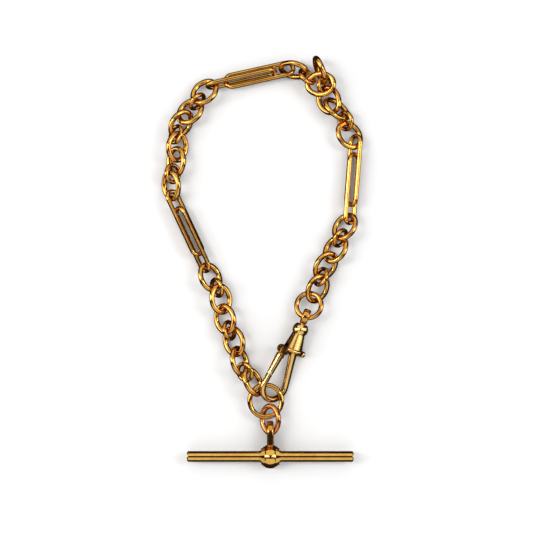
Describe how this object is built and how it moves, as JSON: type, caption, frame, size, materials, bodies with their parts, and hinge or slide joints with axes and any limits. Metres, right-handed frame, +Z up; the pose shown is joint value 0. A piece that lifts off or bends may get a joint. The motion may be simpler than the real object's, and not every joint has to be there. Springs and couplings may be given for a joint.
{
  "type": "watch chain",
  "caption": "Watch chain of oval links, small rings and long double-loop bars, closed on a big ring by a sprung dog clip, with a T-bar for a buttonhole.",
  "frame": {"origin": "middle of the bounding box of the laid-out chain, on the table it lies on", "axes": "+Z up from the table, +Y from the T-bar to the top of the loop, X along the T-bar"},
  "size_m": [0.0493, 0.1003, 0.0074],
  "materials": {
    "yellow_gold": "polished",
    "rose_gold": "polished",
    "solder_gold": "satin",
    "pin_gold": "satin"
  },
  "bodies": {
    "big_ring": {"big_ring": "yellow_gold"},
    "left_lower_oval_1": {"left_lower_oval_1": "yellow_gold"},
    "left_lower_ring_1": {"left_lower_ring_1": "yellow_gold"},
    "left_lower_oval_2": {"left_lower_oval_2": "yellow_gold"},
    "left_lower_oval_3": {"left_lower_oval_3": "yellow_gold"},
    "left_lower_ring_2": {"left_lower_ring_2": "yellow_gold"},
    "left_lower_oval_4": {"left_lower_oval_4": "yellow_gold"},
    "left_lower_oval_5": {"left_lower_oval_5": "yellow_gold"},
    "left_lower_ring_3": {"left_lower_ring_3": "yellow_gold"},
    "left_lower_oval_6": {"left_lower_oval_6": "yellow_gold"},
    "left_trombone": {"left_trombone_loop_1": "yellow_gold", "left_trombone_loop_2": "yellow_gold", "left_trombone_solder": "solder_gold"},
    "left_upper_oval_1": {"left_upper_oval_1": "yellow_gold"},
    "left_upper_ring_1": {"left_upper_ring_1": "yellow_gold"},
    "left_upper_oval_2": {"left_upper_oval_2": "yellow_gold"},
    "left_upper_oval_3": {"left_upper_oval_3": "yellow_gold"},
    "left_upper_ring_2": {"left_upper_ring_2": "yellow_gold"},
    "left_upper_oval_4": {"left_upper_oval_4": "yellow_gold"},
    "left_upper_oval_5": {"left_upper_oval_5": "yellow_gold"},
    "left_upper_ring_3": {"left_upper_ring_3": "yellow_gold"},
    "left_upper_oval_6": {"left_upper_oval_6": "yellow_gold"},
    "top_trombone": {"top_trombone_loop_1": "yellow_gold", "top_trombone_loop_2": "yellow_gold", "top_trombone_solder": "solder_gold"},
    "right_upper_oval_1": {"right_upper_oval_1": "yellow_gold"},
    "right_upper_ring_1": {"right_upper_ring_1": "yellow_gold"},
    "right_upper_oval_2": {"right_upper_oval_2": "yellow_gold"},
    "right_upper_oval_3": {"right_upper_oval_3": "yellow_gold"},
    "right_upper_ring_2": {"right_upper_ring_2": "yellow_gold"},
    "right_upper_oval_4": {"right_upper_oval_4": "yellow_gold"},
    "right_upper_oval_5": {"right_upper_oval_5": "yellow_gold"},
    "right_upper_ring_3": {"right_upper_ring_3": "yellow_gold"},
    "right_upper_oval_6": {"right_upper_oval_6": "yellow_gold"},
    "right_trombone": {"right_trombone_loop_1": "yellow_gold", "right_trombone_loop_2": "yellow_gold", "right_trombone_solder": "solder_gold"},
    "right_lower_oval_1": {"right_lower_oval_1": "yellow_gold"},
    "right_lower_ring_1": {"right_lower_ring_1": "yellow_gold"},
    "right_lower_oval_2": {"right_lower_oval_2": "yellow_gold"},
    "right_lower_oval_3": {"right_lower_oval_3": "yellow_gold"},
    "right_lower_ring_2": {"right_lower_ring_2": "yellow_gold"},
    "right_lower_oval_4": {"right_lower_oval_4": "yellow_gold"},
    "jump_ring": {"jump_ring": "yellow_gold"},
    "swivel_eye": {"swivel_eye": "yellow_gold", "swivel_rivet": "pin_gold"},
    "dog_clip": {"clip_body": "yellow_gold", "clip_hook": "yellow_gold", "gate_pin": "pin_gold", "gate_spring": "pin_gold"},
    "gate": {"clip_gate": "yellow_gold", "thumb_piece": "yellow_gold"},
    "t_bar_link": {"t_bar_link": "rose_gold"},
    "t_bar": {"t_bar": "yellow_gold", "t_bar_bead": "yellow_gold", "t_bar_shackle": "yellow_gold"}
  },
  "joints": [
    {"name": "turn_left_lower_oval_1", "type": "hinge", "parent": "big_ring", "child": "left_lower_oval_1", "pos_m": [-0.00151, -0.03046, 0.00275], "axis": [0, 0, 1], "range_deg": [-1.25, 1.25]},
    {"name": "turn_left_lower_ring_1", "type": "hinge", "parent": "left_lower_oval_1", "child": "left_lower_ring_1", "pos_m": [-0.00426, -0.02659, 0.0029], "axis": [0, 0, 1], "range_deg": [-3.9, 3.9]},
    {"name": "turn_left_lower_oval_2", "type": "hinge", "parent": "left_lower_ring_1", "child": "left_lower_oval_2", "pos_m": [-0.00426, -0.02659, 0.0029], "axis": [0, 0, 1], "range_deg": [-3.9, 3.9]},
    {"name": "turn_left_lower_oval_3", "type": "hinge", "parent": "left_lower_oval_2", "child": "left_lower_oval_3", "pos_m": [-0.00628, -0.02156, 0.00285], "axis": [0, 0, 1], "range_deg": [-12, 12]},
    {"name": "turn_left_lower_ring_2", "type": "hinge", "parent": "left_lower_oval_3", "child": "left_lower_ring_2", "pos_m": [-0.00807, -0.01643, 0.0027], "axis": [0, 0, 1], "range_deg": [-5.49, 5.49]},
    {"name": "turn_left_lower_oval_4", "type": "hinge", "parent": "left_lower_ring_2", "child": "left_lower_oval_4", "pos_m": [-0.00807, -0.01643, 0.0027], "axis": [0, 0, 1], "range_deg": [-5.98, 4.35]},
    {"name": "turn_left_lower_oval_5", "type": "hinge", "parent": "left_lower_oval_4", "child": "left_lower_oval_5", "pos_m": [-0.00969, -0.01124, 0.0027], "axis": [0, 0, 1], "range_deg": [-8, 11]},
    {"name": "turn_left_lower_ring_3", "type": "hinge", "parent": "left_lower_oval_5", "child": "left_lower_ring_3", "pos_m": [-0.01108, -0.00602, 0.0027], "axis": [0, 0, 1], "range_deg": [-2.05, 1.49]},
    {"name": "turn_left_lower_oval_6", "type": "hinge", "parent": "left_lower_ring_3", "child": "left_lower_oval_6", "pos_m": [-0.01108, -0.00602, 0.0027], "axis": [0, 0, 1], "range_deg": [-2.05, 1.49]},
    {"name": "turn_left_trombone", "type": "hinge", "parent": "left_lower_oval_6", "child": "left_trombone", "pos_m": [-0.01382, -0.00122, 0.0022], "axis": [0, 0, 1], "range_deg": [-0.99, 0.72]},
    {"name": "turn_left_upper_oval_1", "type": "hinge", "parent": "left_trombone", "child": "left_upper_oval_1", "pos_m": [-0.02229, 0.01655, 0.0022], "axis": [0, 0, 1], "range_deg": [-4, 8]},
    {"name": "turn_left_upper_ring_1", "type": "hinge", "parent": "left_upper_oval_1", "child": "left_upper_ring_1", "pos_m": [-0.02192, 0.02178, 0.0027], "axis": [0, 0, 1], "range_deg": [-5.95, 2.98]},
    {"name": "turn_left_upper_oval_2", "type": "hinge", "parent": "left_upper_ring_1", "child": "left_upper_oval_2", "pos_m": [-0.02192, 0.02178, 0.0027], "axis": [0, 0, 1], "range_deg": [-5.95, 2.98]},
    {"name": "turn_left_upper_oval_3", "type": "hinge", "parent": "left_upper_oval_2", "child": "left_upper_oval_3", "pos_m": [-0.02087, 0.02648, 0.0027], "axis": [0, 0, 1], "range_deg": [-1, 0.51]},
    {"name": "turn_left_upper_ring_2", "type": "hinge", "parent": "left_upper_oval_3", "child": "left_upper_ring_2", "pos_m": [-0.02108, 0.03136, 0.0027], "axis": [0, 0, 1], "range_deg": [-2.44, 4.87]},
    {"name": "turn_left_upper_oval_4", "type": "hinge", "parent": "left_upper_ring_2", "child": "left_upper_oval_4", "pos_m": [-0.02108, 0.03136, 0.0027], "axis": [0, 0, 1], "range_deg": [-0.33, 0.77]},
    {"name": "turn_left_upper_oval_5", "type": "hinge", "parent": "left_upper_oval_4", "child": "left_upper_oval_5", "pos_m": [-0.019, 0.03564, 0.0027], "axis": [0, 0, 1], "range_deg": [-2.16, 5.17]},
    {"name": "turn_left_upper_ring_3", "type": "hinge", "parent": "left_upper_oval_5", "child": "left_upper_ring_3", "pos_m": [-0.01591, 0.03937, 0.0027], "axis": [0, 0, 1], "range_deg": [-5.97, 2.49]},
    {"name": "turn_left_upper_oval_6", "type": "hinge", "parent": "left_upper_ring_3", "child": "left_upper_oval_6", "pos_m": [-0.01591, 0.03937, 0.0027], "axis": [0, 0, 1], "range_deg": [-5.97, 2.49]},
    {"name": "turn_top_trombone", "type": "hinge", "parent": "left_upper_oval_6", "child": "top_trombone", "pos_m": [-0.01261, 0.04358, 0.0024], "axis": [0, 0, 1], "range_deg": [-2.5, 6]},
    {"name": "turn_right_upper_oval_1", "type": "hinge", "parent": "top_trombone", "child": "right_upper_oval_1", "pos_m": [0.0076, 0.047, 0.0033], "axis": [0.917, -0.0802, 0.3907], "range_deg": [-3, 3]},
    {"name": "turn_right_upper_ring_1", "type": "hinge", "parent": "right_upper_oval_1", "child": "right_upper_ring_1", "pos_m": [0.0076, 0.047, 0.0033], "axis": [0.917, -0.0802, 0.3907], "range_deg": [-3.02, 3.02]},
    {"name": "turn_right_upper_oval_2", "type": "hinge", "parent": "right_upper_ring_1", "child": "right_upper_oval_2", "pos_m": [0.0141, 0.0435, 0.0038], "axis": [0.9659, 0, 0.2588], "range_deg": [-3, 4]},
    {"name": "turn_right_upper_oval_3", "type": "hinge", "parent": "right_upper_oval_2", "child": "right_upper_oval_3", "pos_m": [0.0141, 0.0435, 0.0038], "axis": [0.9659, 0, 0.2588], "range_deg": [-4.02, 3.02]},
    {"name": "turn_right_upper_ring_2", "type": "hinge", "parent": "right_upper_oval_3", "child": "right_upper_ring_2", "pos_m": [0.0153, 0.0435, 0.0019], "axis": [-0.6394, 0.0808, -0.7646], "range_deg": [-30, 30]},
    {"name": "turn_right_upper_oval_4", "type": "hinge", "parent": "right_upper_ring_2", "child": "right_upper_oval_4", "pos_m": [0.0153, 0.0435, 0.0019], "axis": [-0.6394, 0.0808, -0.7646], "range_deg": [-30.07, 30.07]},
    {"name": "turn_right_upper_oval_5", "type": "hinge", "parent": "right_upper_oval_4", "child": "right_upper_oval_5", "pos_m": [0.0181, 0.0375, 0.0027], "axis": [0.8138, -0.5285, -0.2419], "range_deg": [-5, 4]},
    {"name": "turn_right_upper_ring_3", "type": "hinge", "parent": "right_upper_oval_5", "child": "right_upper_ring_3", "pos_m": [0.0181, 0.0375, 0.0027], "axis": [0.8138, -0.5285, -0.2419], "range_deg": [-4.02, 5.02]},
    {"name": "turn_right_upper_oval_6", "type": "hinge", "parent": "right_upper_ring_3", "child": "right_upper_oval_6", "pos_m": [0.0203, 0.0347, 0.0022], "axis": [0, 0, 1], "range_deg": [-1.91, 3.8]},
    {"name": "turn_right_trombone", "type": "hinge", "parent": "right_upper_oval_6", "child": "right_trombone", "pos_m": [0.02307, 0.02986, 0.00204], "axis": [0, 0, 1], "range_deg": [-6.12, 3.06]},
    {"name": "turn_right_lower_oval_1", "type": "hinge", "parent": "right_trombone", "child": "right_lower_oval_1", "pos_m": [0.02147, 0.01066, 0.0022], "axis": [0, 0, 1], "range_deg": [-4, 8]},
    {"name": "turn_right_lower_ring_1", "type": "hinge", "parent": "right_lower_oval_1", "child": "right_lower_ring_1", "pos_m": [0.01898, 0.0061, 0.0027], "axis": [0, 0, 1], "range_deg": [-5.71, 2.86]},
    {"name": "turn_right_lower_oval_2", "type": "hinge", "parent": "right_lower_ring_1", "child": "right_lower_oval_2", "pos_m": [0.01898, 0.0061, 0.0027], "axis": [0, 0, 1], "range_deg": [-5.42, 5.42]},
    {"name": "turn_right_lower_oval_3", "type": "hinge", "parent": "right_lower_oval_2", "child": "right_lower_oval_3", "pos_m": [0.01662, 0.00135, 0.0027], "axis": [0, 0, 1], "range_deg": [-12, 12]},
    {"name": "turn_right_lower_ring_2", "type": "hinge", "parent": "right_lower_oval_3", "child": "right_lower_ring_2", "pos_m": [0.01425, -0.00335, 0.0027], "axis": [0, 0, 1], "range_deg": [-3.07, 3.07]},
    {"name": "turn_right_lower_oval_4", "type": "hinge", "parent": "right_lower_ring_2", "child": "right_lower_oval_4", "pos_m": [0.01425, -0.00335, 0.0027], "axis": [0, 0, 1], "range_deg": [-3.07, 3.07]},
    {"name": "turn_jump_ring", "type": "hinge", "parent": "right_lower_oval_4", "child": "jump_ring", "pos_m": [0.01253, -0.00857, 0.00247], "axis": [0, 0, 1], "range_deg": [-2.6, 2.6]},
    {"name": "turn_swivel_eye", "type": "hinge", "parent": "jump_ring", "child": "swivel_eye", "pos_m": [0.01068, -0.01243, 0.00364], "axis": [0, 0, 1], "range_deg": [-2.1, 2.1]},
    {"name": "swivel", "type": "hinge", "parent": "swivel_eye", "child": "dog_clip", "pos_m": [0.00929, -0.01602, 0.00332], "axis": [-0.3573, -0.9307, -0.0785], "range_deg": [-10, 2.5]},
    {"name": "gate_pivot", "type": "hinge", "parent": "dog_clip", "child": "gate", "pos_m": [0.00509, -0.02095, 0.00447], "axis": [0.5394, -0.2742, 0.7962], "range_deg": [0, 18], "stiffness_Nm_per_rad": 0.0002, "springref_deg": -11.46, "deforming": ["gate_spring"]},
    {"name": "turn_t_bar_link", "type": "hinge", "parent": "big_ring", "child": "t_bar_link", "pos_m": [0.0008, -0.0336, 0.00275], "axis": [0, 0, 1], "range_deg": [-22, 6]},
    {"name": "turn_t_bar", "type": "hinge", "parent": "t_bar_link", "child": "t_bar", "pos_m": [0.0019, -0.04015, 0.0029], "axis": [0, 0, 1], "range_deg": [-5, 5]}
  ],
  "couplings": [
    {"joint": "turn_left_lower_oval_1", "follows": "turn_left_lower_oval_3", "ratio": 0.1029},
    {"joint": "turn_left_lower_ring_1", "follows": "turn_left_lower_oval_3", "ratio": -0.32367},
    {"joint": "turn_left_lower_oval_2", "follows": "turn_left_lower_oval_3", "ratio": -0.32367},
    {"joint": "turn_left_lower_ring_2", "follows": "turn_left_lower_oval_3", "ratio": -0.45556},
    {"joint": "turn_left_lower_oval_4", "follows": "turn_left_lower_oval_5", "ratio": -0.54197},
    {"joint": "turn_left_lower_ring_3", "follows": "turn_left_lower_oval_5", "ratio": -0.1847},
    {"joint": "turn_left_lower_oval_6", "follows": "turn_left_lower_oval_5", "ratio": -0.1847},
    {"joint": "turn_left_trombone", "follows": "turn_left_lower_oval_5", "ratio": -0.08863},
    {"joint": "turn_left_upper_ring_1", "follows": "turn_left_upper_oval_1", "ratio": -0.74145},
    {"joint": "turn_left_upper_oval_2", "follows": "turn_left_upper_oval_1", "ratio": -0.74145},
    {"joint": "turn_left_upper_oval_3", "follows": "turn_left_upper_oval_1", "ratio": -0.12385},
    {"joint": "turn_left_upper_ring_2", "follows": "turn_left_upper_oval_1", "ratio": 0.60674},
    {"joint": "turn_left_upper_oval_4", "follows": "turn_top_trombone", "ratio": 0.12603},
    {"joint": "turn_left_upper_oval_5", "follows": "turn_top_trombone", "ratio": 0.85753},
    {"joint": "turn_left_upper_ring_3", "follows": "turn_top_trombone", "ratio": -0.99178},
    {"joint": "turn_left_upper_oval_6", "follows": "turn_top_trombone", "ratio": -0.99178},
    {"joint": "turn_right_upper_ring_1", "follows": "turn_right_upper_oval_1", "ratio": -1},
    {"joint": "turn_right_upper_oval_3", "follows": "turn_right_upper_oval_2", "ratio": -1},
    {"joint": "turn_right_upper_oval_4", "follows": "turn_right_upper_ring_2", "ratio": -1},
    {"joint": "turn_right_upper_ring_3", "follows": "turn_right_upper_oval_5", "ratio": -1},
    {"joint": "turn_right_upper_oval_6", "follows": "turn_right_lower_oval_1", "ratio": 0.47336},
    {"joint": "turn_right_trombone", "follows": "turn_right_lower_oval_1", "ratio": -0.76177},
    {"joint": "turn_right_lower_ring_1", "follows": "turn_right_lower_oval_1", "ratio": -0.71159},
    {"joint": "turn_right_lower_oval_2", "follows": "turn_right_lower_oval_3", "ratio": -0.44948},
    {"joint": "turn_right_lower_ring_2", "follows": "turn_right_lower_oval_3", "ratio": -0.25457},
    {"joint": "turn_right_lower_oval_4", "follows": "turn_right_lower_oval_3", "ratio": -0.25457},
    {"joint": "turn_jump_ring", "follows": "turn_right_lower_oval_3", "ratio": -0.21513},
    {"joint": "turn_swivel_eye", "follows": "turn_right_lower_oval_3", "ratio": 0.17375}
  ]
}
